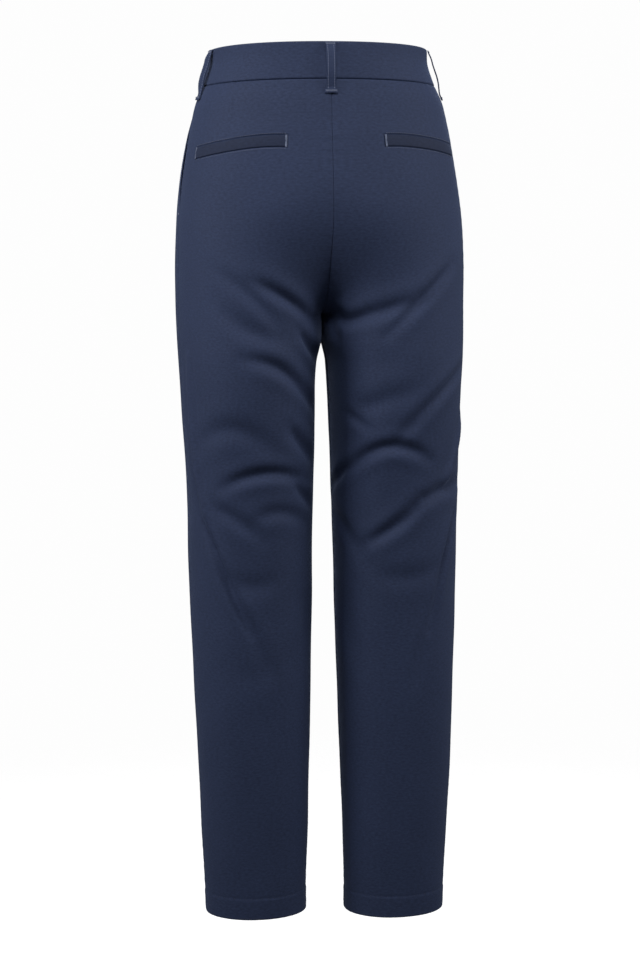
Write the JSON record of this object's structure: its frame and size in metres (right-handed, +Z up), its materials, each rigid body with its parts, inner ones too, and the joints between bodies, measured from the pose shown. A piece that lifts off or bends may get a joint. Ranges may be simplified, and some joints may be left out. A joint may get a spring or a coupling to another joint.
{
  "type": "chino trousers",
  "caption": "Straight-leg twill trousers, filled out and hollow: waistband with belt loops, fly and button, slant front pockets, welt back pockets, blind-stitched hems",
  "frame": {"origin": "centre of the waist opening, level with the waistband's top edge at centre back, where the wearer's waist holds the trousers up", "axes": "+Z up, -Y the wearer's front (fly), +X the wearer's left"},
  "size_m": [0.3344, 0.2385, 1.013],
  "materials": {
    "twill": "fine navy stretch twill with a slight sheen",
    "band_twill": "fine navy stretch twill, pressed double",
    "zip_tape": "dark woven tape",
    "stitching": "navy thread, a little lighter than the cloth",
    "button": "dark navy, satin"
  },
  "bodies": {
    "root": {"back_left_upper": "twill", "back_left_lower": "twill", "back_right_upper": "twill", "back_right_lower": "twill", "front_left_upper": "twill", "front_left_lower": "twill", "front_right_upper": "twill", "front_right_lower": "twill", "hip_piece_left": "twill", "hip_piece_right": "twill", "welt_left": "twill", "welt_right": "twill", "fly_lap": "twill", "fly_zip": "zip_tape", "waistband": "band_twill", "loop_back": "band_twill", "loop_left": "band_twill", "loop_right": "band_twill", "loop_front_left": "band_twill", "loop_front_right": "band_twill", "waist_button": "button"}
  },
  "joints": []
}
